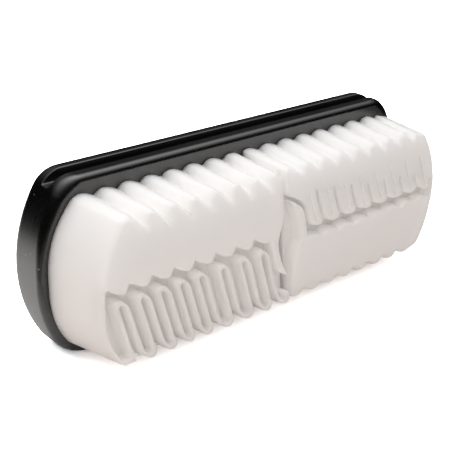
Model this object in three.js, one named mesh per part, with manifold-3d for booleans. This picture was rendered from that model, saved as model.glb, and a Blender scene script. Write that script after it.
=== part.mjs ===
// A hand brush for lifting hair: two pleated rubber pads glued side by side on a plastic handle.
// Millimetres. X runs along the brush, Y from the working face to the back, Z up.
import * as THREE from 'three';
import { mergeVertices } from 'three/addons/utils/BufferGeometryUtils.js';
import Module from 'manifold-3d';

const wasm = await Module();
wasm.setup();

// Sizes that drive the rest
const pitch = 6.7;
const folds = 8;
const padHeight = 18;
const handleThickness = 12.2;
const rimMargin = 4;
const endMargin = 2.7;

// The pads as seen on the working face, measured at their foot
const rowReach = 2.97 * pitch;
const cornerReach = 8.05 * pitch;
const endAtFoot = 9.31 * pitch;
const endAtFront = 9.15 * pitch;
const endFullness = 2.5;
const cornerRound = 0.12 * pitch;
const slitHalf = 0.145 * pitch;
const tipDepth = 0.4 * pitch;
const valleyAtFoot = 0.2 * pitch;
const valleyAtFront = 0.47 * pitch;
const stripThickness = 0.205 * pitch;
const archSlot = 0.225 * pitch;
const endWall = 0.2 * pitch;
const legLean = 0.3;
const foldLean = 0.5;

// The middle of the brush, where the two pads meet
const seamLean = 0.1;
const seamGap = 0.3;
const seamTop = 2 * pitch;
const seamEdge = -0.36 * pitch;
const lensTop = 0.85 * pitch;
const hookLength = 0.6 * pitch;

// The pads along their height
const taper = 0.028;
const slotDepth = 0.4 * padHeight;
const frontRound = 0.09 * pitch;
const glueThickness = 0.3;
const glueInset = 1;

// The handle
const handleHalfWidth = rowReach + rimMargin;
const handleHalfLength = endAtFoot + endMargin;
const endBow = 38;
const handleCorner = 8;
const rimRound = 1;
const backRound = 4;
const grooveFront = 4.3;
const grooveWidth = 3.3;
const grooveDepth = 3;
const grooveRound = 1;

// Where the folds of the left pad stand; fold -1 is next to the middle of the brush.
const foldNumbers = Array.from({ length: folds }, (_, i) => i - folds);
const stepsPerFold = 6;
const ridgeX = (fold) => (fold + 0.18) * pitch;
const tipX = (fold) => (fold - 0.435) * pitch;
const archX = (fold) => (fold - 0.56) * pitch;
const turnX = (fold) => (fold - 0.1) * pitch;

// The strip of the open row: arches at the slit, turns at the outer side, leaning legs between them
const turnSlot = pitch - archSlot - 2 * stripThickness;
const archRadius = archSlot / 2 + stripThickness;
const archFoot = slitHalf + archRadius;
const slotEnd = rowReach - stripThickness - turnSlot / 2;
const pocketReach = 0.84 * rowReach;

const quarter = Math.PI / 2;
const point = (x, z) => new THREE.Vector2(x, z);

function arc(centre, radius, start, end, steps) {
  return new THREE.EllipseCurve(centre.x, centre.y, radius, radius, start, end, end < start).getPoints(steps);
}

// A point of the open row, so far below the middle of the brush; the legs lean over with depth.
function leaning(x, depth) {
  return point(x + legLean * (depth - slitHalf), -depth);
}

// Moves every point of an anticlockwise outline outward, square to its two edges.
function grow(outline, distance) {
  return outline.map((here, i) => {
    const before = outline[(i + outline.length - 1) % outline.length];
    const after = outline[(i + 1) % outline.length];
    const into = here.clone().sub(before).normalize();
    const onward = after.clone().sub(here).normalize();
    const mitre = point(into.y + onward.y, -into.x - onward.x).divideScalar(1 + into.dot(onward));
    return here.clone().addScaledVector(mitre, distance);
  });
}

// Steps of a rounded edge: how far below the edge each lies, and how far in from the side.
function roundedEdge(radius, steps) {
  return Array.from({ length: steps + 1 }, (_, i) => {
    const angle = quarter * (i / steps);
    return { below: radius * (1 - Math.sin(angle)), inward: radius * (1 - Math.cos(angle)) };
  });
}

// Joins equal rings, given from the back towards the working face, into one closed solid.
function loft(rings) {
  const count = rings[0].length;
  const last = (rings.length - 1) * count;
  const triangles = [];
  for (let level = 0; level < last; level += count) {
    for (let i = 0; i < count; i += 1) {
      const a = level + i;
      const b = level + (i + 1) % count;
      triangles.push(a, b, a + count, b, b + count, a + count);
    }
  }
  const cap = (ring) => THREE.ShapeUtils.triangulateShape(ring.map(({ x, z }) => point(x, z)), []);
  cap(rings[0]).forEach(([a, b, c]) => triangles.push(a, c, b));
  cap(rings.at(-1)).forEach(([a, b, c]) => triangles.push(last + a, last + b, last + c));
  return new wasm.Manifold(new wasm.Mesh({
    numProp: 3,
    vertProperties: new Float32Array(rings.flat().flatMap((corner) => corner.toArray())),
    triVerts: new Uint32Array(triangles),
  }));
}

// Sets an outline of a pad at a height above the handle; the pads narrow towards the working face.
function atHeight(outline, height) {
  const scale = 1 - taper * height / padHeight;
  return outline.map(({ x, y }) => new THREE.Vector3(x * scale, -height, y * scale));
}

// The outer side of a row from one x to another: bowed ridges that lean over and meet in sharp valleys.
function ridgeLine(fromX, toX, crestX, valley, lean) {
  const step = pitch / stepsPerFold;
  const across = (x) => 2 * ((x - crestX) / pitch - Math.round((x - crestX) / pitch));
  const leanAt = (x, depth) => x + lean * depth * across(x) ** 2;
  const margin = step / 5;
  const inside = (x) => [valleyAtFoot, valleyAtFront].every((depth) => (
    leanAt(x, depth) > fromX + margin && leanAt(x, depth) < toX - margin
  ));
  const first = Math.floor((fromX - crestX) / step);
  const last = Math.ceil((toX - crestX) / step);
  const stations = Array.from({ length: last - first + 1 }, (_, i) => crestX + (first + i) * step);
  const ridge = (x, placedX) => point(placedX, rowReach - valley * across(x) ** 2);
  const ridges = stations.filter(inside).map((x) => ridge(x, leanAt(x, valley)));
  return [ridge(fromX, fromX), ...ridges, ridge(toX, toX)];
}

const seamX = (z) => -seamLean * z - seamGap / 2;

// The bowed end of the pads, downward from one z to another.
function endLine(reach, fromZ, toZ, steps) {
  return Array.from({ length: steps + 1 }, (_, i) => {
    const z = THREE.MathUtils.lerp(fromZ, toZ, i / steps);
    return point((reach - cornerReach) * Math.abs(z / rowReach) ** endFullness - reach, z);
  });
}

// The left pad without its slots, anticlockwise from the lower left corner.
// The share is 0 at the foot of the pad and 1 at its front.
function padOutline(share) {
  const valley = THREE.MathUtils.lerp(valleyAtFoot, valleyAtFront, share);
  const cornerX = cornerRound - cornerReach;
  const cornerZ = rowReach - cornerRound;
  return [
    ...ridgeLine(cornerX, seamX(-rowReach), turnX(0), valley, -foldLean).map(({ x, y }) => point(x, -y)),
    ...ridgeLine(cornerX, seamX(rowReach), ridgeX(0), valley, foldLean).reverse(),
    ...endLine(THREE.MathUtils.lerp(endAtFoot, endAtFront, share), cornerZ, -cornerZ, 18),
  ];
}

function padBlock() {
  const rings = [atHeight(padOutline(0), glueThickness)];
  roundedEdge(frontRound, 2).forEach(({ below, inward }) => {
    const height = padHeight - below;
    rings.push(atHeight(grow(padOutline(height / padHeight), -inward), height));
  });
  return loft(rings);
}

// A hollow sunk from the working face; its mouth is rounded over.
const overcut = 1;

function hollow(outline) {
  const rings = [atHeight(outline, padHeight - slotDepth)];
  roundedEdge(frontRound, 2).forEach(({ below, inward }) => {
    rings.push(atHeight(grow(outline, inward), padHeight - below));
  });
  rings.push(atHeight(grow(outline, frontRound), padHeight + overcut));
  return loft(rings);
}

// A straight slot with round ends.
function slotBetween(from, to, width) {
  const heading = Math.atan2(to.y - from.y, to.x - from.x);
  return hollow([
    ...arc(from, width / 2, heading + quarter, heading + 3 * quarter, 4),
    ...arc(to, width / 2, heading - quarter, heading + quarter, 4),
  ]);
}

// Inside each arch a slot runs out into the valley of the outer side.
const innerSlots = () => foldNumbers.map((fold) => slotBetween(
  leaning(archX(fold), slitHalf + stripThickness + archSlot / 2),
  leaning(archX(fold), rowReach - archSlot),
  archSlot,
));

// Between two arches a slot runs out into the slit.
const outerSlots = () => foldNumbers.slice(0, -1).map((fold) => slotBetween(
  leaning(archX(fold) + pitch / 2, archFoot - turnSlot / 2),
  leaning(archX(fold) + pitch / 2, slotEnd),
  turnSlot,
));

// The slit between the rows: arches of the open row below, leaning tips of the tight row above.
function slit() {
  const arches = foldNumbers.flatMap((fold) => arc(point(0, 0), archRadius, Math.PI, 0, stepsPerFold)
    .map(({ x, y }) => leaning(archX(fold) + x, archFoot - y)));
  const tips = Array.from({ length: folds * stepsPerFold + 1 }, (_, i) => {
    const across = i / stepsPerFold - 0.5;
    const fromTip = 2 * (across - Math.round(across));
    const drop = tipDepth * (1 - fromTip * fromTip);
    return point(tipX(-folds) + across * pitch + foldLean * drop, slitHalf + tipDepth - drop);
  });
  return hollow([...arches, ...tips.reverse()]);
}

// The pocket between the end wall and the first leg of the open row.
function endPocket() {
  const legX = archX(-folds) - archRadius;
  const foot = leaning(legX, archFoot);
  const top = slitHalf + tipDepth / 2;
  return hollow([
    leaning(legX, pocketReach),
    foot,
    point(foot.x, top),
    ...endLine(endAtFront - endWall, top, -pocketReach, 8),
  ]);
}

// The tail of the tight row, which hooks down past the slit at the middle of the brush.
function tail() {
  const course = [
    [-1, 0.9], [-1.02, 0], [-0.9, -0.6], [-0.72, -1.2], [-0.4, -1.46], [-0.1, -1.6],
    [0, -1.5], [-0.12, -1.25], [-0.36, -0.8], [-0.58, -0.2], [-0.6, 0.3], [-0.5, 0.9],
  ].map(([x, z]) => new THREE.Vector3(x * pitch, z * pitch, 0));
  const outline = new THREE.CatmullRomCurve3(course, true).getPoints(36).slice(0, -1)
    .map(({ x, y }) => point(x, y));
  const rings = [atHeight(outline, padHeight - slotDepth - overcut)];
  roundedEdge(frontRound, 2).forEach(({ below, inward }) => {
    rings.push(atHeight(grow(outline, -inward), padHeight - below));
  });
  rings.push(atHeight(grow(outline, -frontRound), padHeight + 2 * overcut));
  return loft(rings);
}

// The open space at the middle seam, round the tail and inside the last turn of the open row.
function seamHollow() {
  const hookEnd = rowReach - hookLength;
  const outside = pitch / 2;
  const tailMiddle = seamEdge - 0.2 * pitch;
  const turnCentre = leaning(archX(-1) + pitch / 2, slotEnd);
  const legFoot = leaning(archX(-1) + archRadius, archFoot);
  return hollow([
    point(turnCentre.x + turnSlot / 2, -hookEnd),
    point(seamX(-hookEnd) + outside, -hookEnd),
    point(seamX(seamTop) + outside, seamTop),
    point(seamEdge, seamTop),
    point(seamEdge, lensTop),
    point(tailMiddle, slitHalf + tipDepth),
    point(tailMiddle, slitHalf),
    point(legFoot.x, slitHalf),
    legFoot,
    ...arc(turnCentre, turnSlot / 2, Math.PI, 2 * Math.PI, 4),
  ]);
}

function leftPad() {
  const hollows = [slit(), endPocket(), seamHollow(), ...innerSlots(), ...outerSlots()];
  return padBlock().subtract(wasm.Manifold.union(hollows).subtract(tail()));
}

function glueFilm() {
  const outline = grow(padOutline(0), -glueInset);
  return loft([atHeight(outline, 0), atHeight(outline, glueThickness)]);
}

// The handle seen from the front: straight long sides, bowed ends and round corners between them.
function handleOutline() {
  const endX = handleHalfLength - endBow;
  const cornerZ = handleHalfWidth - handleCorner;
  const cornerX = endX + Math.sqrt((endBow - handleCorner) ** 2 - cornerZ ** 2);
  const turn = Math.atan2(cornerZ, cornerX - endX);
  const end = [
    ...arc(point(cornerX, -cornerZ), handleCorner, -quarter, -turn, 6),
    ...arc(point(endX, 0), endBow, -turn, turn, 14).slice(1, -1),
    ...arc(point(cornerX, cornerZ), handleCorner, turn, quarter, 6),
  ];
  return [...end, ...end.map(({ x, y }) => point(-x, -y))];
}

function handleBlock() {
  const outline = handleOutline();
  const ring = (inward, depth) => grow(outline, -inward).map(({ x, y }) => new THREE.Vector3(x, depth, y));
  const back = roundedEdge(backRound, 5).map(({ below, inward }) => ring(inward, handleThickness - below));
  const front = roundedEdge(rimRound, 3).map(({ below, inward }) => ring(inward, below));
  return loft([...back.reverse(), ...front]);
}

// A groove for the fingertips along the upper long side.
function fingerGroove() {
  const floor = handleHalfWidth - grooveDepth;
  const top = handleHalfWidth + overcut;
  const back = grooveFront + grooveWidth;
  const section = new THREE.Shape();
  section.moveTo(grooveFront, top);
  section.lineTo(grooveFront, floor + grooveRound);
  section.quadraticCurveTo(grooveFront, floor, grooveFront + grooveRound, floor);
  section.lineTo(back - grooveRound, floor);
  section.quadraticCurveTo(back, floor, back, floor + grooveRound);
  section.lineTo(back, top);
  const length = 2 * handleHalfLength;
  const sweep = { depth: length, bevelEnabled: false, curveSegments: 4 };
  const geometry = new THREE.ExtrudeGeometry(section, sweep);
  const upright = new THREE.Matrix4().makeBasis(
    new THREE.Vector3(0, 1, 0),
    new THREE.Vector3(0, 0, 1),
    new THREE.Vector3(1, 0, 0),
  );
  geometry.applyMatrix4(upright).translate(-handleHalfLength, 0, 0);
  geometry.deleteAttribute('normal');
  geometry.deleteAttribute('uv');
  const merged = mergeVertices(geometry);
  return new wasm.Manifold(new wasm.Mesh({
    numProp: 3,
    vertProperties: new Float32Array(merged.attributes.position.array),
    triVerts: new Uint32Array(merged.index.array),
  }));
}

// Half a turn about the depth axis carries the left pad onto the right one.
const halfTurn = (solid) => solid.rotate([0, 180, 0]);

function handle() {
  const groove = fingerGroove();
  return handleBlock().subtract(groove).subtract(halfTurn(groove));
}

const rubber = new THREE.MeshStandardMaterial({ color: '#ece7df', roughness: 0.6, metalness: 0 });
const plastic = new THREE.MeshStandardMaterial({ color: '#121212', roughness: 0.3, metalness: 0 });
const adhesive = new THREE.MeshStandardMaterial({ color: '#d8c48a', roughness: 0.5, metalness: 0 });

// The brush lies on its lower long side: the origin is under its middle.
const brush = new THREE.Group();
brush.name = 'hair_removal_brush';

function place(name, solid, material) {
  const { vertProperties, triVerts } = solid.getMesh();
  const geometry = new THREE.BufferGeometry();
  geometry.setAttribute('position', new THREE.BufferAttribute(vertProperties, 3));
  geometry.setIndex(new THREE.BufferAttribute(triVerts, 1));
  geometry.translate(0, (padHeight - handleThickness) / 2, handleHalfWidth);
  const mesh = new THREE.Mesh(geometry, material);
  mesh.name = name;
  brush.add(mesh);
}

const pad = leftPad();
const film = glueFilm();
place('handle', handle(), plastic);
place('left_glue_film', film, adhesive);
place('right_glue_film', halfTurn(film), adhesive);
place('left_pad', pad, rubber);
place('right_pad', halfTurn(pad), rubber);

export default brush;
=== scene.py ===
# %% [markdown]
# # A pleated rubber brush for lifting hair
# The brush is a black plastic handle with two white rubber pads glued on its face. This lesson
# dresses the solid model of that brush: each step says what the piece is on the real object, how
# it could be made in Blender, and why it is made the way it is here.
# Every size is in millimetres until a mesh is written, because that is how a maker measures it.
# Finishes, the floor and the lamps use metres, which is Blender's own unit.

import bpy
import numpy as np
from mathutils import Matrix, Vector
from mathutils.geometry import tessellate_polygon


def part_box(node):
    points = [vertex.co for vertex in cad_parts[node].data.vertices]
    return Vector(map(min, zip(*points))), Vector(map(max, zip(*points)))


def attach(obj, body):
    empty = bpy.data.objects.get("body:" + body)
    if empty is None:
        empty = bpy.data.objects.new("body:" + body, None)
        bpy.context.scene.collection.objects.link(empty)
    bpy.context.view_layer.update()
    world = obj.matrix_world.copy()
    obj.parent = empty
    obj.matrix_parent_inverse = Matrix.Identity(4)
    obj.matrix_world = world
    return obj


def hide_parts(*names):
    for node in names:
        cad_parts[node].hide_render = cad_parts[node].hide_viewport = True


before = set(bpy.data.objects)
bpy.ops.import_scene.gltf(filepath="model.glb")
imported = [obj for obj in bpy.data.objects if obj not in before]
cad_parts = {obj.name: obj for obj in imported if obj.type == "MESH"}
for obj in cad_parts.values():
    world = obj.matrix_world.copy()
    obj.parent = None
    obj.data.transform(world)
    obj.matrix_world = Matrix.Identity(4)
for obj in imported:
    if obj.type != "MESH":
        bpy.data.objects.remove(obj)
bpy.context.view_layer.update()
scene = bpy.context.scene
scene.view_settings.view_transform = "Standard"

# %% [markdown]
# ## Where things are
# The solid model lies on its long side: X runs along the brush, Y from the working face to the
# back, Z is up. All shapes below are drawn on the working face, so they use `x`, `z` from the
# middle of the brush and a height above the handle's flat face. One function carries them into
# the model's frame. The moulding shown is a little shorter than its solid at both ends.

# %% Middle of the brush and face of the handle
MM = 0.001
END_TRIM = 0.9
handle_low, handle_high = (np.array(corner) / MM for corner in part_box("handle"))
HALF_LENGTH = handle_high[0] - END_TRIM
HALF_WIDTH = (handle_high[2] - handle_low[2]) / 2
THICKNESS = handle_high[1] - handle_low[1]
FACE_Y = handle_low[1]
MIDDLE_Z = (handle_low[2] + handle_high[2]) / 2


def in_frame(x, height, z):
    """Points in metres: x along the brush, height out of the handle's face, z up from its middle."""
    x, height, z = np.broadcast_arrays(x, height, z)
    return np.stack([x, FACE_Y - height, MIDDLE_Z + z], axis=-1) * MM


print("handle", 2 * HALF_LENGTH, "x", 2 * HALF_WIDTH, "x", THICKNESS, "mm")

# %% [markdown]
# ## The camera
# A photograph fixes the camera once the object's own proportions are known: the ridges are evenly
# spaced, so they work like the marks of a ruler. The camera stands to the left of the brush and
# above it, leans by two degrees, and its optical axis passes a little to the side of the middle.

# %% Camera at the photograph's place
PITCH = 6.7
AZIMUTH, ELEVATION, ROLL = np.radians([-41.558, 24.386, 2.02])
DISTANCE = 40.464 * PITCH
FOCAL_PIXELS = 983.713
FRAME_PIXELS = 450
LEAN, AIM_LEFT = 1.3, 0.06 * PITCH
AIM_PIXEL = np.array([244.264, 215.737])
AIM_POINT = np.array([LEAN - AIM_LEFT, FACE_Y, MIDDLE_Z])

back = np.array([
    np.sin(AZIMUTH) * np.cos(ELEVATION),
    -np.cos(AZIMUTH) * np.cos(ELEVATION),
    np.sin(ELEVATION),
])
level = np.array([np.cos(AZIMUTH), np.sin(AZIMUTH), 0.0])
upright = np.cross(back, level)
right = np.cos(ROLL) * level + np.sin(ROLL) * upright
up = np.cos(ROLL) * upright - np.sin(ROLL) * level
aside = (AIM_PIXEL - FRAME_PIXELS / 2) / FOCAL_PIXELS * DISTANCE
eye = AIM_POINT + back * DISTANCE - right * aside[0] + up * aside[1]
print("camera at", np.round(eye, 1), "mm")

# %% Lens and camera
SENSOR_WIDTH = 36
NEAREST, FARTHEST = 0.01, 20
camera = bpy.data.objects.new("camera", bpy.data.cameras.new("camera"))
camera.data.sensor_width = SENSOR_WIDTH
camera.data.lens = FOCAL_PIXELS / FRAME_PIXELS * SENSOR_WIDTH
camera.data.clip_start = NEAREST
camera.data.clip_end = FARTHEST
axes = Matrix(np.stack([right, up, back], 1)).to_4x4()
camera.matrix_world = Matrix.Translation(Vector(eye * MM)) @ axes
scene.collection.objects.link(camera)
scene.camera = camera
print("lens of", round(camera.data.lens, 1), "mm")

# %% [markdown]
# ## Surfaces as stacks of rings
# Both the handle and the pads are outlines that change a little from the back to the working
# face. Such a shape is a function of two parameters: the place along the outline, and the level.
# The rings are worked out as whole arrays, and one function turns a stack of them into a mesh.

# %% From rings to a mesh
def new_piece(name, corners, faces, caps):
    """A piece that rides with the brush. Its sides are shaded smooth and its flat caps flat."""
    runs = faces + caps
    used, renumbered = np.unique(np.concatenate([np.ravel(run) for run in runs]), return_inverse=True)
    ends = np.cumsum([np.size(run) for run in runs])
    split = np.split(renumbered, ends[:-1])
    quads = np.concatenate([part.reshape(-1, 4) for part in split[: len(faces)]]).tolist()
    flats = [part.tolist() for part in split[len(faces):]]
    mesh = bpy.data.meshes.new(name)
    mesh.from_pydata(corners.reshape(-1, 3)[used], [], quads + flats)
    mesh.polygons.foreach_set("use_smooth", np.arange(len(mesh.polygons)) < len(quads))
    mesh.update()
    piece = bpy.data.objects.new(name, mesh)
    scene.collection.objects.link(piece)
    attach(piece, "root")
    print(name, len(mesh.vertices), "points", len(mesh.polygons), "faces")
    return piece


def between_rings(here, after, count, first, last):
    """Four-sided faces between neighbouring rings, for the steps of the outline from here to after."""
    step = np.stack([here, after, after + count, here + count], axis=1)
    return [ring * count + step for ring in range(first, last)]


def column(values):
    """Values one below the other, so that each row of points has its own."""
    return np.reshape(values, (-1, 1))


def rounded_edge(radius, steps):
    """Distances below the edge and in from the side of a quarter round, from the side to the top."""
    angle = np.linspace(0, np.pi / 2, steps + 1)
    return radius * (1 - np.sin(angle)), radius * (1 - np.cos(angle))


# %% [markdown]
# ## The handle
# The handle is one moulding: bowed ends, round corners, a small round where its side meets the
# face, a larger one towards the back, and a groove for the fingertips along both long sides.
# Bevels and booleans could make it, but the rims would then be facets. Here the outline is drawn
# once with its outward directions, every level of the section moves it inward by some amount,
# and the groove simply limits how far a point may stand out sideways.

# %% Outline of the handle
END_BOW, CORNER_RADIUS = 38.0, 8.0
CORNER_STEPS, BOW_STEPS, SIDE_STEPS = 24, 72, 58


def handle_outline():
    """Outline of the handle with unit outward directions, anticlockwise seen from the face.

    It is made of arcs that meet with a common tangent: a shallow bow at each end, a corner arc on
    either side of it, and straight long sides. A point of an arc is its centre plus its radius
    times the outward direction, so the direction angle is the only parameter.
    """
    bow_x = HALF_LENGTH - END_BOW
    corner_z = HALF_WIDTH - CORNER_RADIUS
    corner_x = bow_x + np.sqrt((END_BOW - CORNER_RADIUS) ** 2 - corner_z**2)
    turn = np.arctan2(corner_z, corner_x - bow_x)
    lower = np.linspace(-np.pi / 2, -turn, CORNER_STEPS, endpoint=False)
    bow = np.linspace(-turn, turn, BOW_STEPS, endpoint=False)
    upper = np.linspace(turn, np.pi / 2, CORNER_STEPS + 1)
    angle = np.concatenate([lower, bow, upper])
    middle_x = np.concatenate([lower * 0 + corner_x, bow * 0 + bow_x, upper * 0 + corner_x])
    middle_z = np.concatenate([lower * 0 - corner_z, bow * 0, upper * 0 + corner_z])
    radius = np.concatenate([lower * 0 + CORNER_RADIUS, bow * 0 + END_BOW, upper * 0 + CORNER_RADIUS])
    outward = np.stack([np.cos(angle), np.sin(angle)], 1)
    end = np.stack([middle_x, middle_z], 1) + radius[:, None] * outward
    side_x = np.linspace(corner_x, -corner_x, SIDE_STEPS + 2)[1:-1]
    side = np.stack([side_x, side_x * 0 + HALF_WIDTH], 1)
    side_out = np.tile([0.0, 1.0], (len(side), 1))
    half = np.concatenate([end, side])
    half_out = np.concatenate([outward, side_out])
    return np.concatenate([half, -half]), np.concatenate([half_out, -half_out])


# %% [markdown]
# Two kinds of edge are rounded on the moulding. The rim round is small along the sides and at the
# ends and larger at the corners; the back round is the same everywhere. The levels of the section
# follow them, closely spaced where the surface turns. A bevel would need the same sizes and would
# give them to whole edges, while a formula lets the rim grow smoothly from a side into a corner.

# %% Levels of the handle, from the flat back to the face
SIDE_ROUND, END_ROUND, CORNER_EXTRA, BACK_ROUND = 1.6, 1.0, 1.8, 2.6
GROOVE_FRONT, GROOVE_BACK, GROOVE_DEPTH, GROOVE_LIP = 4.3, 7.6, 3.0, 0.22
ROUND_STEPS, WALL_LEVELS = 14, 68


def handle_rings():
    """Rings of the handle. The groove's section is a flat-bottomed trough with soft lips.

    Its depth at a distance behind the face is the difference of two tanh steps, one for each wall.
    Points that would stand out further than the trough's floor are brought back to it, so the
    groove runs out by itself where the round corners turn away.
    """
    outline, outward = handle_outline()
    back_below, back_in = rounded_edge(BACK_ROUND, ROUND_STEPS)
    endward, sideward = np.abs(outward).T
    rim = END_ROUND * endward**2 + SIDE_ROUND * sideward**2 + CORNER_EXTRA * 2 * endward * sideward
    rim_below, rim_in = (rim * column(part) for part in rounded_edge(1, ROUND_STEPS))
    side = np.linspace(THICKNESS - BACK_ROUND, rim, WALL_LEVELS + 2)[1:-1]
    behind = np.concatenate([column(THICKNESS - back_below)[::-1] + 0 * rim, side, rim_below])
    inward = np.concatenate([column(back_in)[::-1] + 0 * rim, side * 0, rim_in])
    points = outline[None] - inward[..., None] * outward[None]
    front_wall = np.tanh((behind - GROOVE_FRONT) / GROOVE_LIP)
    back_wall = np.tanh((behind - GROOVE_BACK) / GROOVE_LIP)
    reach = HALF_WIDTH - GROOVE_DEPTH * (front_wall - back_wall) / 2
    x, z = points[..., 0], np.clip(points[..., 1], -reach, reach)
    return in_frame(x, -behind, z)


def handle_piece():
    """The moulding: its rings joined all round, closed by one flat face at the back and at the front."""
    rings = handle_rings()
    levels, count, _ = rings.shape
    here = np.arange(count)
    faces = between_rings(here, np.roll(here, -1), count, 0, levels - 1)
    return new_piece("handle_moulding", rings, faces, [here[::-1], (levels - 1) * count + here])


handle = handle_piece()
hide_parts("handle")

# %% [markdown]
# ## The folds of a rubber pad
# Each pad is one rubber moulding. Half of its width is a tight row, whose folds are pressed into
# one block with a scalloped edge. The other half is an open row: a strip that runs to and fro,
# with arches along the middle slit and turns along the outer side. A smooth wall joins the two
# rows round the end of the brush, and at the middle the tight row ends in a hooked tail.
# A strip like this could be swept along a path, but then the wall, the block and the tail would be
# separate lumps. Drawing the whole boundary as one closed line gives one skin without joints.
# Everything is drawn for the left pad, with the tight row above. The right pad is turned half round.

# %% Where the folds stand
FOLDS = 8
PAD_HEIGHT = 18.0
GLUE = 0.3
TAPER = 0.028
SAG = 0.6
ROW_REACH = 2.97 * PITCH
END_FOOT, END_FRONT = 9.22 * PITCH, 9.15 * PITCH
SLIT_HALF = 0.145 * PITCH
STRIP, INNER = 0.235 * PITCH, 0.215 * PITCH
ARCH, ARCH_HEIGHT = -0.56 * PITCH, 0.32 * PITCH
ARCH_FOOT = SLIT_HALF + ARCH_HEIGHT
LEG_SLOPE, END_SLOPE = 0.32, 0.5
TIP_START = -0.935 * PITCH
RIDGE, RIDGE_FOOT, PRESSED_RIDGE = 0.18 * PITCH, 0.2 * PITCH, 0.4 * PITCH
TURN, TURN_FOOT, TURN_FRONT = -0.09 * PITCH, 0.2 * PITCH, 0.6 * PITCH
print("rows of", FOLDS, "folds, one every", PITCH, "mm")

# %% [markdown]
# ### A spread row and a pressed row
# Soft rubber doesn't keep its moulded shape. In the left pad the open row has spread, so that its
# gaps run the whole way down and its arches stand unevenly. In the right pad it is pressed
# together, more so towards its end, and only narrow gaps and thin leaf-shaped slots are left.
# The two pads could be bent from one mesh, but the bending would have to be guessed point by point.
# It is simpler to draw both rows by the same functions and to name the sizes in which they differ.

# %% An open row
def open_row(uneven, gap_share, **sizes):
    """An open row: its arches, the gap after each of them, and the sizes that differ from row to row.

    An arch stands an even step from the last one, moved by its unevenness. The gap between two arches
    lies midway, and its width is the given share of what the strip and the slots leave free.
    """
    arch = np.arange(-FOLDS, 0) * PITCH + ARCH + uneven
    spacing = np.append(np.diff(arch), PITCH)
    half_gap = gap_share * (spacing / 2 - INNER / 2 - STRIP)
    middle = arch + spacing / 2
    return dict(arch=arch, gap_left=middle - half_gap, gap_right=middle + half_gap, **sizes)


# %% Sizes of the two rows
# depth is how far the gaps reach below the middle, or zero where they run the whole way, and pocket
# is the same for the hollow beside the end wall. tip and ridge are how deep the notches and valleys
# of the tight row are. raised lifts the arches into the slit, and crown is how far the front falls
# back at the brush's upper and lower edge. The corner of the end, how far it is cut, the power of the
# bow and the thickness of the wall follow; pairs are for the foot and the front, low_ is for below.
SPREAD = open_row(
    np.array([0.2, 0.18, 0.11, 0.01, -0.08, 0.0, 0.08, 0.08]) * PITCH,
    np.ones(FOLDS),
    depth=np.zeros(FOLDS - 1),
    pocket=0.88 * ROW_REACH,
    tip=0.4 * PITCH,
    ridge=0.7 * PITCH,
    raised=0.13 * PITCH,
    crown=(1.8, 0.0),
    corner=8.05 * PITCH,
    low_corner=(8.35 * PITCH, 8.05 * PITCH),
    corner_round=0.12 * PITCH,
    bow=(2.4, 2.0),
    low_bow=(2.8, 2.8),
    wall=0.17 * PITCH,
)
PRESSED = open_row(
    np.zeros(FOLDS),
    np.append(np.linspace(0.12, 0.35, FOLDS - 1), 1),
    depth=np.linspace(0.35, 0.6, FOLDS - 1) * ROW_REACH,
    pocket=0.2 * ROW_REACH,
    tip=0.2 * PITCH,
    ridge=0.3 * PITCH,
    raised=0.0,
    crown=(2.8, 0.9),
    corner=8.4 * PITCH,
    low_corner=(8.4 * PITCH, 8.4 * PITCH),
    corner_round=0.3 * PITCH,
    bow=(2.5, 2.5),
    low_bow=(2.5, 2.5),
    wall=0.2 * PITCH,
)
LEAF_WIDTH = np.linspace(0.1, 0.4, FOLDS) * INNER
LEAF_TOP, LEAF_END = SLIT_HALF + 0.3 * PITCH, 0.6 * ROW_REACH
print("gaps of the spread row", np.round(SPREAD["gap_right"] - SPREAD["gap_left"], 2), "mm")

# %% [markdown]
# ### Small curves
# Every line of the folds is one of a few kinds: legs that lean along the brush, half-ellipses where
# the strip turns, parabolas where pressed folds meet, and free lines at the tail. Splines with handles
# could draw them, but would hide how one size follows from another. As formulas they can be
# evaluated for all folds in one step.

# %% Curves that the outline is made of
ROUNDING_PASSES = 4


def leaning(x, depth):
    """Points of the open row at a depth below the middle: x moves on in proportion to the depth."""
    x, depth = np.broadcast_arrays(x, depth)
    return np.stack([x + LEG_SLOPE * (depth - SLIT_HALF), -depth], axis=-1)


def bend(left, right, foot_depth, height, angle):
    """A bend of the strip: half an ellipse that stands on the legs, pushed over by its steeper slope.

    A positive height points towards the slit, a negative one towards the outer side.
    """
    rise = column(height) * np.sin(angle)
    push = (LEG_SLOPE - END_SLOPE) * np.clip(rise, -ARCH_HEIGHT, ARCH_HEIGHT)
    across = column(left + right) / 2 + column(right - left) / 2 * np.cos(angle)
    return leaning(across + push, column(foot_depth) - rise)


def between(values, share):
    """A size between its value at the foot of the pad and the one at its front."""
    return values[0] + (values[1] - values[0]) * share


def cut_corners(course):
    """Rounds an open line: each pass puts points a quarter and three quarters along every edge."""
    for _ in range(ROUNDING_PASSES):
        near = 0.75 * course[:-1] + 0.25 * course[1:]
        far = 0.25 * course[:-1] + 0.75 * course[1:]
        middle = np.stack([near, far], 1).reshape(-1, 2)
        course = np.concatenate([course[:1], middle, course[-1:]])
    return course


# %% Ridges and tips where folds are pressed together
STEPS_PER_FOLD = 12
RIDGE_RUN, TIP_RUN = FOLDS - 0.3, FOLDS - 0.35


def ridge_line(crest, first, depth, lean, row):
    """Outer side of pressed folds, towards the end: leaning parabolas that meet in sharp valleys.

    Counted in folds from the crest, the drop at a place is the depth times the square of twice its
    distance from the nearest crest.
    """
    along = np.linspace(first, RIDGE_RUN, STEPS_PER_FOLD * FOLDS)
    drop = depth * (2 * (along - np.round(along))) ** 2
    x = crest - along * PITCH
    line = np.stack([x + lean * drop, ROW_REACH - drop], 1)
    return line[x > row["corner_round"] - row["corner"]]


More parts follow.
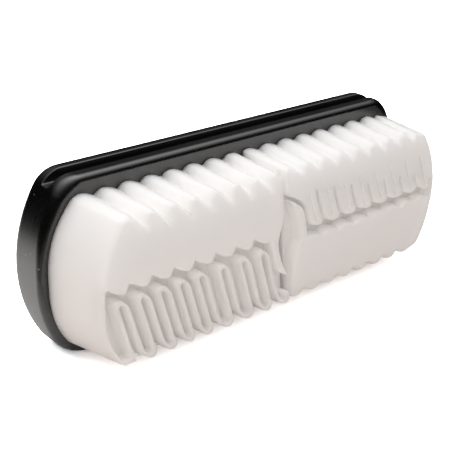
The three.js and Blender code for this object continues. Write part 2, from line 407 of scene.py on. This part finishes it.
def tight_tips(depth):
    """Slit side of the tight row, towards the middle: tips that lean over and meet in sharp notches."""
    along = np.linspace(0, TIP_RUN, STEPS_PER_FOLD * FOLDS + 1)
    drop = depth * (1 - (2 * (along % 1) - 1) ** 2)
    x = TIP_START - FOLDS * PITCH + along * PITCH + END_SLOPE * drop
    return np.stack([x, SLIT_HALF + depth - drop], 1)


# %% [markdown]
# ### The outline of the folds
# The boundary runs anticlockwise: along the turns of the open row to the middle seam, back along the
# arches to the end wall, along the tips of the tight row to the tail, round it, and along the outer
# ridges to the end. It changes from the foot of the pad to its front, where the folds are deeper, so
# each part is a function of the share of the height. All shares give the same number of points,
# which lets a point at the foot be joined to its own at the front.

# %% The bowed end
def end_line(share, inset, z, row):
    """The bowed end of a pad at heights z: drawn in by a power of the distance from the middle line."""
    reach = between((END_FOOT, END_FRONT), share)
    above, below = (between(row[key], share) for key in ("bow", "low_bow"))
    corner = np.where(z > 0, row["corner"], between(row["low_corner"], share))
    drawn_in = (reach - corner) * np.abs(z / ROW_REACH) ** np.where(z > 0, above, below)
    return np.stack([inset - reach + drawn_in, z], 1)


# %% Turns of the open row
BEND_POINTS, CORNER_POINTS = 13, 4
FROM_RIGHT = np.linspace(0, np.pi, BEND_POINTS)
FROM_LEFT = FROM_RIGHT[::-1]
PRESSED_START = -0.3


def spread_turns(share):
    """Outer side of the spread row, towards the middle: each turn of the strip, and the slot before it."""
    arch = SPREAD["arch"]
    height = between((TURN_FOOT, TURN_FRONT), share)
    left = np.append(arch[0] - PITCH, arch) + INNER / 2
    right = np.append(arch, arch[-1] + PITCH) - INNER / 2
    turns = bend(left, right, ROW_REACH - height, -height, FROM_LEFT)
    slot_height = ARCH_HEIGHT - STRIP + SPREAD["raised"]
    slots = bend(arch - INNER / 2, arch + INNER / 2, ARCH_FOOT, slot_height, FROM_LEFT)
    runs = [(True, turns[0, -CORNER_POINTS:])]
    for slot, turn in zip(slots, turns[1:]):
        runs += [(False, slot), (True, turn)]
    return runs


def pressed_turns(share):
    """Outer side of the pressed row, towards the middle: ridges, then up the seam and below the tail.

    The course of the seam is given in pitches: straight up, then bending over to the last arch.
    """
    depth = between((RIDGE_FOOT, PRESSED_RIDGE), share)
    ridges = ridge_line(TURN, PRESSED_START, depth, -END_SLOPE, PRESSED)[::-1] * [1, -1]
    seam = np.array([
        [0.14, -2.6], [0.14, -1.95],
        [0.1, -1.82], [-0.35, -1.62], [-0.78, -1.38], [-0.95, -1.0], [-1.03, -0.6],
    ])
    return [(True, ridges), (False, cut_corners(seam * PITCH))]


# %% Arches of the open row, and the tail of the tight one
def arches(row, share):
    """Slit side of an open row, towards the end: down a gap and up again, then over an arch."""
    arch, gap_left, gap_right, depth = (row[key] for key in ("arch", "gap_left", "gap_right", "depth"))
    turn_foot = ROW_REACH - between((TURN_FOOT, TURN_FRONT), share)
    foot = np.append(np.where(depth > 0, ARCH_FOOT, turn_foot), turn_foot)
    floor = np.append(np.where(depth > 0, depth, ROW_REACH - STRIP), ROW_REACH - STRIP)
    floors = bend(gap_left, gap_right, foot, foot - floor, FROM_RIGHT)
    top_left = np.append(arch[0] - INNER / 2 - STRIP, gap_right[:-1])
    tops = bend(top_left, gap_left, ARCH_FOOT, ARCH_HEIGHT + row["raised"], FROM_RIGHT)
    line = np.concatenate([floors, tops], 1)[::-1].reshape(-1, 2)
    return line if row is SPREAD else line[BEND_POINTS:]


def hooked_tail():
    """The tail of the tight row, in pitches: down past the slit beside the last arch, round and up again."""
    course = np.array([
        [-1.1, 0.15], [-1.02, 0.0], [-0.9, -0.6], [-0.76, -1.2], [-0.35, -1.48],
        [0.02, -1.66], [-0.12, -1.4], [-0.36, -0.9], [-0.6, -0.2],
        [-0.6, 0.3], [-0.36, 0.85], [-0.38, 1.5], [-0.36, 2.0],
    ])
    return cut_corners(course * PITCH)


# %% [markdown]
# The parts come together in runs. A run on the outer side reaches down to the handle, and one inside
# a slot doesn't, so each run is kept with a mark that says which it is.

# %% The whole boundary
WALL_POINTS, END_POINTS, LEAF_POINTS = 24, 40, 64
TIGHT_START = -0.33


def fold_runs(share, row):
    """The boundary of a pad's folds in runs, anticlockwise from the lower corner of its end.

    Each run says whether it lies on the outer side, which reaches down to the handle, or inside a slot.
    """
    turns = spread_turns(share) if row is SPREAD else pressed_turns(share)
    reach, tip = row["pocket"], row["tip"]
    edge = ROW_REACH - row["corner_round"]
    pocket = leaning(row["arch"][:1] - INNER / 2 - STRIP, reach)
    wall = end_line(share, row["wall"], np.linspace(-reach, SLIT_HALF + tip, WALL_POINTS), row)
    end = end_line(share, 0, np.linspace(edge, -edge, END_POINTS), row)
    inside = [arches(row, share), pocket, wall, tight_tips(tip), hooked_tail()]
    depth = between((RIDGE_FOOT, row["ridge"]), share)
    ridges = ridge_line(RIDGE - PITCH, TIGHT_START, depth, END_SLOPE, row)
    return turns + [(False, np.concatenate(inside)), (True, ridges), (True, end)]


def fold_outline(share, row):
    """The whole boundary as one line."""
    return np.concatenate([points for _, points in fold_runs(share, row)])


def on_outer_side(places, row):
    """Whether each place along the boundary lies on the outer side of the pad."""
    marks = np.concatenate([np.full(len(points), outer) for outer, points in fold_runs(1, row)])
    marks = np.append(marks, marks[0])
    return marks[np.floor(places).astype(int)] & marks[np.ceil(places).astype(int)]


def leaf_slots():
    """Slots inside the arches of the pressed row: ellipses along the legs, clockwise like any hole."""
    angle = np.linspace(0, 2 * np.pi, LEAF_POINTS, endpoint=False)
    across = column(PRESSED["arch"]) + column(LEAF_WIDTH) / 2 * np.sin(angle)
    return leaning(across, (LEAF_TOP + LEAF_END) / 2 - (LEAF_END - LEAF_TOP) / 2 * np.cos(angle))


# %% [markdown]
# ### Even spacing and soft corners
# The parts have very different numbers of points, and their joints are sharp. A moulded rubber edge
# has neither, so the line is divided into equal steps and smoothed by a bell-shaped weight.
# A subdivision surface would soften it too, but it would also shrink the thin strip.

# %% Spacing and softness
SPACING, SOFTNESS = 0.25, 0.32
BELL_REACH = 3


def even_places(outline):
    """Evenly spaced places along a closed line, as positions counted in its own points."""
    closed = np.concatenate([outline, outline[:1]])
    length = np.concatenate([[0], np.cumsum(np.linalg.norm(np.diff(closed, axis=0), axis=1))])
    even = np.linspace(0, length[-1], round(length[-1] / SPACING), endpoint=False)
    return np.interp(even, length, np.arange(len(closed)))


def points_at(outline, places):
    """Points of a closed line at those places, straight between its own points."""
    closed = np.concatenate([outline, outline[:1]])
    number = np.arange(len(closed))
    return np.stack([np.interp(places, number, closed[:, axis]) for axis in range(2)], 1)


def soften(points):
    """Rounds every corner of an evenly spaced closed line: each point becomes a bell-weighted mean."""
    reach = int(np.ceil(BELL_REACH * SOFTNESS / SPACING))
    step = np.arange(-reach, reach + 1)
    weight = np.exp(-0.5 * (step * SPACING / SOFTNESS) ** 2)
    weight /= weight.sum()
    return sum(w * np.roll(points, s, axis=0) for w, s in zip(weight, step))


# %% [markdown]
# A rounded edge needs room: where the strip is thin, the rounds from its two sides must not meet.
# A bevel would be clamped to one width for the whole edge. Here each point gets the radius that fits.

# %% Room for rounded edges
CHUNKS, NEIGHBOURS, LEAST_AHEAD = 12, 3, 1e-4


def outward_of(points):
    """Unit outward directions of anticlockwise rings, square to the line through both neighbours."""
    along = np.roll(points, -1, axis=-2) - np.roll(points, 1, axis=-2)
    outward = np.stack([along[..., 1], -along[..., 0]], -1)
    return outward / np.linalg.norm(outward, axis=-1, keepdims=True)


def room_inside(points, blocked):
    """Radius of the largest circle that touches the outline at each point and holds no blocked point.

    A circle through another point at distance d, which lies h ahead along the inward direction, has
    the radius d * d / (2 * h). The smallest over all other points is the room there, so a rounded
    edge that stays below it never meets the one from the other side.
    """
    inward = -outward_of(points)
    room = []
    for part in np.array_split(np.arange(len(points)), CHUNKS):
        away = blocked[None] - points[part, None]
        ahead = (away * inward[part, None]).sum(-1)
        circle = (away**2).sum(-1) / np.maximum(2 * ahead, LEAST_AHEAD)
        room.append(np.where(ahead > LEAST_AHEAD, circle, np.inf).min(1))
    room = np.concatenate(room)
    return np.min([np.roll(room, step) for step in range(-NEIGHBOURS, NEIGHBOURS + 1)], axis=0)


# %% [markdown]
# ### A pad
# The folds stand on a root that is as deep as the slots leave it. The edges at the front are rounded,
# more outside than in the slots, and less at the end of the brush, where the rubber is cut sharper.
# The fronts of the soft folds also fall back, lean to the right and sag a little. A boolean could cut
# the slots, but leaves ragged edges. Here the boundary itself becomes the wall, with flat floors in
# the slots and one front that is filled between the outline and the leaf slots.

# %% Rings of a pad
FRONT_ROUND, SLOT_ROUND, FOOT_ROUND, LEAF_ROUND = 1.7, 0.65, 0.1, 0.3
ROOM_SHARE = 0.8
END_FROM, END_BLEND, END_SHARPER = 7.7 * PITCH, 0.4 * PITCH, 0.5


def pad_rings(row, places, heights, inward):
    """Rings of the folds from foot to front: deeper valleys and a slightly smaller size at the front."""
    foot, front = (soften(points_at(fold_outline(share, row), places)) for share in (0, 1))
    share = (heights / PAD_HEIGHT)[:, None, None]
    rings = (foot * (1 - share) + front * share) * (1 - TAPER * share)
    last = rings[-1]
    blocked = last if row is SPREAD else np.concatenate([last, leaf_slots().reshape(-1, 2)])
    near_end = np.clip((-last[:, 0] - END_FROM) / END_BLEND, 0, 1)
    full = np.where(on_outer_side(places, row), 1, SLOT_ROUND / FRONT_ROUND)
    wanted = full * (1 - END_SHARPER * near_end)
    fits = np.minimum(wanted, ROOM_SHARE * room_inside(last, blocked) / FRONT_ROUND)
    return rings - inward[:, None, None] * soften(fits[:, None]) * outward_of(rings)


def leaf_rings(heights, inward):
    """Rings of the leaf slots, from their floors to the front, where their edges are rounded over."""
    leaves = leaf_slots()
    scale = (1 - TAPER * heights / PAD_HEIGHT)[:, None, None, None]
    return leaves * scale - inward[:, None, None, None] * outward_of(leaves)


def place_rings(rings, heights, side, row):
    """Points of the rings in the model's frame, turned half round for the right pad.

    Up the pad the rubber leans to the right and sags, and the front falls back by the square of the
    distance from the middle line.
    """
    x, z = side * rings[..., 0], side * rings[..., 1]
    share = column(heights) / PAD_HEIGHT
    fallen_back = np.where(z > 0, *row["crown"]) * (z / ROW_REACH) ** 2
    placed = in_frame(x + LEAN * share, share * (PAD_HEIGHT - fallen_back), z - SAG * share)
    return placed.reshape(-1, 3)


# %% [markdown]
# The rings become a closed skin: walls between them, floors in the slots, leaf slots as holes in the
# front, and triangles that fill what is left of it.

# %% Faces of a pad
def pad_faces(outer, levels, floor):
    """Walls and flat faces of a pad, without its front.

    Above the floor of the slots every step of the outline carries a wall. Below it only the outer side
    does, and each slot is closed by one flat floor.
    """
    count = len(outer)
    here, rim = np.arange(count), np.flatnonzero(outer)
    rim_after = np.roll(rim, -1)
    walls = between_rings(rim, rim_after, count, 0, floor)
    walls += between_rings(here, np.roll(here, -1), count, floor, levels - 1)
    bays = []
    for start, length in zip(rim, (rim_after - rim) % count):
        if length > 1:
            bays.append(floor * count + (start + np.arange(length, -1, -1)) % count)
    return walls, [rim[::-1]] + bays


def front_faces(points, loops):
    """Triangles that fill the front between the outline and its holes, all facing the viewer."""
    triangles = tessellate_polygon([points[loop].tolist() for loop in loops])
    order = np.concatenate(loops)[np.array(triangles)]
    a, b, c = (points[order[:, corner]] for corner in range(3))
    flipped = np.cross(b - a, c - a)[:, 1] > 0
    order[flipped] = order[flipped][:, ::-1]
    return list(order)


# %% Leaf slots
LEAF_STEPS, LEAF_DEPTH = 4, 0.5


def leaf_holes(first, side):
    """The leaf slots of the pressed row: points, walls, floors and front edges, numbered from first on."""
    below, inward = rounded_edge(LEAF_ROUND, LEAF_STEPS)
    heights = np.append(PAD_HEIGHT - LEAF_DEPTH, PAD_HEIGHT - below)
    leaves = leaf_rings(heights, np.append(0, inward))
    levels, number, count, _ = leaves.shape
    points, walls, floors, edges = [], [], [], []
    for leaf in range(number):
        here = first + leaf * levels * count + np.arange(count)
        points.append(place_rings(leaves[:, leaf], heights, side, PRESSED))
        walls += between_rings(here, np.roll(here, -1), count, 0, levels - 1)
        floors.append(here[::-1])
        edges.append(here + (levels - 1) * count)
    return np.concatenate(points), walls, floors, edges


# %% The two pads
# The third ring of a pad carries the floors of its slots.
SLOT_FLOOR, FLOOR_LEVEL = 0.81 * PAD_HEIGHT, 2


def rubber_pad(name, node, side, row):
    """One pad as one closed skin. The right pad is a left one after half a turn."""
    places = even_places(fold_outline(1, row))
    below, inward = rounded_edge(FRONT_ROUND, ROUND_STEPS)
    heights = np.concatenate([[GLUE, GLUE + FOOT_ROUND, SLOT_FLOOR], PAD_HEIGHT - below])
    rings = pad_rings(row, places, heights, np.concatenate([[FOOT_ROUND, 0, 0], inward]))
    walls, caps = pad_faces(on_outer_side(places, row), len(heights), FLOOR_LEVEL)
    points = place_rings(rings, heights, side, row)
    loops = [len(points) - len(places) + np.arange(len(places))]
    if row is PRESSED:
        holes, hole_walls, hole_floors, edges = leaf_holes(len(points), side)
        points = np.concatenate([points, holes])
        walls, caps, loops = walls + hole_walls, caps + hole_floors, loops + edges
    pad = new_piece(name, points, walls, caps + front_faces(points, loops))
    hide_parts(node)
    return pad


left_pad = rubber_pad("left_rubber", "left_pad", 1, SPREAD)
right_pad = rubber_pad("right_rubber", "right_pad", -1, PRESSED)

# %% [markdown]
# ## Finishes
# Nothing here is a picture: every finish is worked out from the place on the object. Two finishes
# share one effect, the slight unevenness that any moulding has, so it is a node group of its own.
# It gives a slow drift of tone and a fine grain as a normal, and each finish uses them its own way.

# %% Helpers for node trees
def set_inputs(node, inputs):
    """Sets inputs of a node, named by their labels with underscores for spaces."""
    for label, value in inputs.items():
        node.inputs[label.replace("_", " ")].default_value = value


def add_node(tree, kind, **inputs):
    """A new node with some of its inputs set."""
    node = tree.nodes.new(kind)
    set_inputs(node, inputs)
    return node


def give(tree, socket, value):
    """Joins a value to a socket if it is a socket too, and sets it as a constant otherwise."""
    if isinstance(value, bpy.types.NodeSocket):
        tree.links.new(value, socket)
    else:
        socket.default_value = value


# %% Helpers for arithmetic, colours and places
def add_math(tree, operation, *values):
    """The result of one step of arithmetic."""
    node = tree.nodes.new("ShaderNodeMath")
    node.operation = operation
    for socket, value in zip(node.inputs, values):
        give(tree, socket, value)
    return node.outputs["Value"]


def add_range(tree, value, **limits):
    """A value carried evenly from one range to another, and kept inside it."""
    node = add_node(tree, "ShaderNodeMapRange", **limits)
    tree.links.new(value, node.inputs["Value"])
    return node.outputs["Result"]


def add_mix(tree, share, first, second):
    """A colour between two others."""
    node = tree.nodes.new("ShaderNodeMix")
    node.data_type = "RGBA"
    tree.links.new(share, node.inputs["Factor"])
    colours = [socket for socket in node.inputs if socket.type == "RGBA"]
    for socket, value in zip(colours, (first, second)):
        give(tree, socket, value)
    return next(socket for socket in node.outputs if socket.type == "RGBA")


def add_parts(tree, vector):
    """The three parts of a vector, as sockets by name."""
    node = tree.nodes.new("ShaderNodeSeparateXYZ")
    tree.links.new(vector, node.inputs["Vector"])
    return node.outputs


def object_place(tree):
    """Where a point lies on the object."""
    return tree.nodes.new("ShaderNodeTexCoord").outputs["Object"]


# %% [markdown]
# ### The shared unevenness
# Moulded surfaces are never quite even: a slow drift of tone over centimetres and a fine grain. Two
# noises give both, and the grain is turned into a normal.

# %% A node group for it
DRIFT_SCALE, DRIFT_DETAIL, GRAIN_DETAIL = 70, 3, 2


def moulded_unevenness():
    """A group that gives a drift of tone between 0 and 1, and a normal with fine grain."""
    group = bpy.data.node_groups.new("moulded_unevenness", "ShaderNodeTree")
    group.interface.new_socket("Grain size", in_out="INPUT", socket_type="NodeSocketFloat")
    group.interface.new_socket("Grain height", in_out="INPUT", socket_type="NodeSocketFloat")
    group.interface.new_socket("Tone", in_out="OUTPUT", socket_type="NodeSocketFloat")
    group.interface.new_socket("Normal", in_out="OUTPUT", socket_type="NodeSocketVector")
    given, result = group.nodes.new("NodeGroupInput"), group.nodes.new("NodeGroupOutput")
    place = object_place(group)
    drift = add_node(group, "ShaderNodeTexNoise", Scale=DRIFT_SCALE, Detail=DRIFT_DETAIL)
    grain = add_node(group, "ShaderNodeTexNoise", Detail=GRAIN_DETAIL)
    bump = add_node(group, "ShaderNodeBump", Strength=1)
    for noise in (drift, grain):
        group.links.new(place, noise.inputs["Vector"])
    group.links.new(given.outputs["Grain size"], grain.inputs["Scale"])
    group.links.new(given.outputs["Grain height"], bump.inputs["Distance"])
    group.links.new(grain.outputs["Fac"], bump.inputs["Height"])
    group.links.new(drift.outputs["Fac"], result.inputs["Tone"])
    group.links.new(bump.outputs["Normal"], result.inputs["Normal"])
    return group


UNEVENNESS = moulded_unevenness()
print("node group", UNEVENNESS.name)


# %% A finish, and the unevenness in it
def new_finish(name, **inputs):
    """A material with its shader's constants set. Returns it with its tree and shader."""
    material = bpy.data.materials.new(name)
    material.use_nodes = True
    shader = material.node_tree.nodes["Principled BSDF"]
    set_inputs(shader, inputs)
    print("finish", name)
    return material, material.node_tree, shader


def add_unevenness(tree, shader, grain_size, grain_height):
    """Puts the shared group into a finish and joins its normal. Returns the socket of its tone."""
    group = tree.nodes.new("ShaderNodeGroup")
    group.node_tree = UNEVENNESS
    group.inputs["Grain size"].default_value = grain_size
    group.inputs["Grain height"].default_value = grain_height
    tree.links.new(group.outputs["Normal"], shader.inputs["Normal"])
    return group.outputs["Tone"]


# %% [markdown]
# ### White rubber
# Soft rubber filled with white pigment lets light in and out again a few millimetres away. That is
# why its slots look warm and bright instead of dark, and why the bright top glows over the front
# edge. A plain diffuse white would need false lights in the slots, so the rubber gets subsurface
# scattering; its red light travels a little further than its blue.

# %% Rubber
RUBBER_DARK, RUBBER_LIGHT = (0.975, 0.955, 0.937, 1), (0.988, 0.973, 0.959, 1)
RUBBER_GRAIN, RUBBER_GRAIN_HEIGHT = 900, 0.00003
rubber, rubber_tree, rubber_shader = new_finish(
    "white_rubber",
    Roughness=0.5,
    Specular_IOR_Level=0.3,
    Subsurface_Weight=1,
    Subsurface_Radius=(1.0, 0.97, 0.94),
    Subsurface_Scale=0.0045,
)
rubber_tone = add_unevenness(rubber_tree, rubber_shader, RUBBER_GRAIN, RUBBER_GRAIN_HEIGHT)
rubber_colour = add_mix(rubber_tree, rubber_tone, RUBBER_DARK, RUBBER_LIGHT)
rubber_tree.links.new(rubber_colour, rubber_shader.inputs["Base Color"])

# %% [markdown]
# ### Black plastic
# The handle is a black moulding with a satin gloss. Almost all that is seen of it is reflection: the
# pale floor low down on its end, whose colour in reflections is painted on the paper, and the dark
# room higher up. The colour itself is nearly black.

# %% Plastic
GLOSS_RANGE = dict(To_Min=0.2, To_Max=0.32)
PLASTIC_GRAIN, PLASTIC_GRAIN_HEIGHT = 1500, 0.000015
plastic, plastic_tree, plastic_shader = new_finish("black_plastic", IOR=1.57, Specular_IOR_Level=1)
plastic_tone = add_unevenness(plastic_tree, plastic_shader, PLASTIC_GRAIN, PLASTIC_GRAIN_HEIGHT)
plastic_gloss = add_range(plastic_tree, plastic_tone, **GLOSS_RANGE)
plastic_tree.links.new(plastic_gloss, plastic_shader.inputs["Roughness"])

# %% [markdown]
# Wear shows on the near end of the handle: small pale specks where it was put down and knocked. Cells
# of a little over two millimetres are strewn over that end, about a third of them hold one speck at
# their middle, and a mask keeps them off the rest of the handle.

# %% Specks on the near end
SPECK_CELLS, SPECK_RADIUS, SPECK_SHARE = 420, 0.11, 0.3
SPECKS_BEGIN, SPECKS_FULL = -0.057, -0.062
PLASTIC_BLACK, SPECK_PALE = 0.0012, 0.22
plastic_place = object_place(plastic_tree)
cells = add_node(plastic_tree, "ShaderNodeTexVoronoi", Scale=SPECK_CELLS)
plastic_tree.links.new(plastic_place, cells.inputs["Vector"])
chance = plastic_tree.nodes.new("ShaderNodeSeparateColor")
plastic_tree.links.new(cells.outputs["Color"], chance.inputs["Color"])
along_brush = add_parts(plastic_tree, plastic_place)["X"]
near_end = add_range(plastic_tree, along_brush, From_Min=SPECKS_BEGIN, From_Max=SPECKS_FULL)
speck_edge = dict(From_Min=SPECK_RADIUS, From_Max=SPECK_RADIUS / 2)
inside = add_range(plastic_tree, cells.outputs["Distance"], **speck_edge)
chosen = add_math(plastic_tree, "LESS_THAN", chance.outputs["Red"], SPECK_SHARE)
strewn = add_math(plastic_tree, "MULTIPLY", inside, chosen)
speck = add_math(plastic_tree, "MULTIPLY", strewn, near_end)
worn = add_range(plastic_tree, speck, To_Min=PLASTIC_BLACK, To_Max=SPECK_PALE)
plastic_tree.links.new(worn, plastic_shader.inputs["Base Color"])

# %% [markdown]
# ### Adhesive
# The film between a pad and the handle is cured contact adhesive, a yellowish, slightly glossy layer.
# Hardly any of it is ever seen, so it needs nothing but a colour. It keeps the mesh of the solid model.

# %% Adhesive, and which piece has which finish
adhesive, _, _ = new_finish("adhesive", Base_Color=(0.7, 0.6, 0.4, 1), Roughness=0.4)
for piece, material in ((left_pad, rubber), (right_pad, rubber), (handle, plastic)):
    piece.data.materials.append(material)
for film_name in ("left_glue_film", "right_glue_film"):
    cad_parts[film_name].material_slots[0].material = adhesive

# %% [markdown]
# ## Floor and light
# The brush stands on white paper that runs on out of sight. What the camera sees of the paper is pure
# white; for the light it is a warm grey that sends some light up into the folds. Its colour in the
# handle's reflection is a painted reflection: painted brighter behind than in front and fading with
# distance, brighter than white close to the brush, to stand in for a sheet lit from above. A painted
# backdrop could do the same, but the paper's answers to three kinds of ray keep everything in one
# material.

# %% Floor
FLOOR_HALF = 3
floor_mesh = bpy.data.meshes.new("floor")
floor_corners = np.array([(-1, -1, 0), (1, -1, 0), (1, 1, 0), (-1, 1, 0)]) * FLOOR_HALF
floor_mesh.from_pydata(floor_corners.tolist(), [], [(0, 1, 2, 3)])
floor = bpy.data.objects.new("floor", floor_mesh)
scene.collection.objects.link(floor)
print("floor", 2 * FLOOR_HALF, "m wide")

# %% Paper, as the camera, a reflection and the light see it
FLOOR_LIT, FLOOR_SEEN = (0.86, 0.79, 0.752, 1), (3.3, 3.45, 3.6, 1)
# Painted reflection: the paper's colour as reflections see it, brighter behind and close to the brush.
PAINTED_REFLECTION_DEPTH = dict(From_Min=-0.04, From_Max=0.06, To_Min=0.26, To_Max=1)
PAINTED_REFLECTION_FADING = dict(From_Min=0.07, From_Max=0.35, To_Min=1.4, To_Max=0)
paper, paper_tree, paper_shader = new_finish("floor", Roughness=0.9, Specular_IOR_Level=0)
floor_ray = paper_tree.nodes.new("ShaderNodeLightPath").outputs
floor_place = object_place(paper_tree)
distance = paper_tree.nodes.new("ShaderNodeVectorMath")
distance.operation = "LENGTH"
paper_tree.links.new(floor_place, distance.inputs[0])
# Painted reflection: a colour by depth and distance that only glossy rays see on the paper.
painted_reflection_near = add_range(paper_tree, distance.outputs["Value"], **PAINTED_REFLECTION_FADING)
painted_reflection_behind = add_range(paper_tree, add_parts(paper_tree, floor_place)["Y"], **PAINTED_REFLECTION_DEPTH)
painted_reflection = add_math(paper_tree, "MULTIPLY", painted_reflection_near, painted_reflection_behind)
direct = add_mix(paper_tree, floor_ray["Is Camera Ray"], FLOOR_LIT, FLOOR_SEEN)
paper_colour = add_mix(paper_tree, floor_ray["Is Glossy Ray"], direct, painted_reflection)
paper_tree.links.new(paper_colour, paper_shader.inputs["Base Color"])
floor_mesh.materials.append(paper)

# %% [markdown]
# ### Sky and lamps
# One sky does the work of a large soft light above: black at the horizon, brighter the higher it is
# and a little more so to the right, so that the top is the brightest side and the handle's end
# reflects a dark room. The camera sees plain white instead of it. A lamp of 0.8 m at the left, in
# front, brings out the near end and the fronts of the folds, and a small weak one behind the left end
# lifts its edge. Neither shows as a reflection. Many lamps could replace the sky, but each would
# show in the plastic.

# %% Sky
HORIZON, ZENITH, SIDEWAYS, GATHERED = 0.1, 2.75, 0.15, 4.5
SKY_COLOUR, SKY_SEEN = (1, 0.995, 0.99, 1), 1
scene.world = bpy.data.worlds.new("studio")
scene.world.use_nodes = True
sky_tree = scene.world.node_tree
direction = add_parts(sky_tree, sky_tree.nodes.new("ShaderNodeTexCoord").outputs["Generated"])
turned = add_math(sky_tree, "MULTIPLY_ADD", direction["X"], SIDEWAYS, direction["Z"])
height = add_range(sky_tree, turned, From_Min=HORIZON, From_Max=1)
glow = add_math(sky_tree, "MULTIPLY", add_math(sky_tree, "POWER", height, GATHERED), ZENITH)
strength = add_node(sky_tree, "ShaderNodeMix", B=SKY_SEEN)
sky_tree.links.new(glow, strength.inputs["A"])
sky_ray = sky_tree.nodes.new("ShaderNodeLightPath").outputs
sky_tree.links.new(sky_ray["Is Camera Ray"], strength.inputs["Factor"])
background = sky_tree.nodes["Background"]
sky_tree.links.new(strength.outputs["Result"], background.inputs["Strength"])
background.inputs["Color"].default_value = SKY_COLOUR
print("sky of strength", ZENITH, "overhead")

# %% Lamps
LAMP_COLOUR = (1, 0.95, 0.91)


def soft_light(name, place, aim, size, power):
    """A square lamp at a place, turned towards the point that it lights."""
    lamp = bpy.data.lights.new(name, "AREA")
    lamp.size = size
    lamp.energy = power
    lamp.color = LAMP_COLOUR
    holder = bpy.data.objects.new(name, lamp)
    holder.location = place
    holder.rotation_euler = (Vector(aim) - Vector(place)).to_track_quat("-Z", "Y").to_euler()
    holder.visible_glossy = False
    scene.collection.objects.link(holder)
    print(name, "lamp of", power, "W")


soft_light("left", place=(-0.84, -1.04, 0.64), aim=(0, 0, 0.02), size=0.8, power=5.6)
soft_light("behind", place=(-0.25, 0.2, 0.3), aim=(-0.09, 0.03, 0), size=0.2, power=0.4)
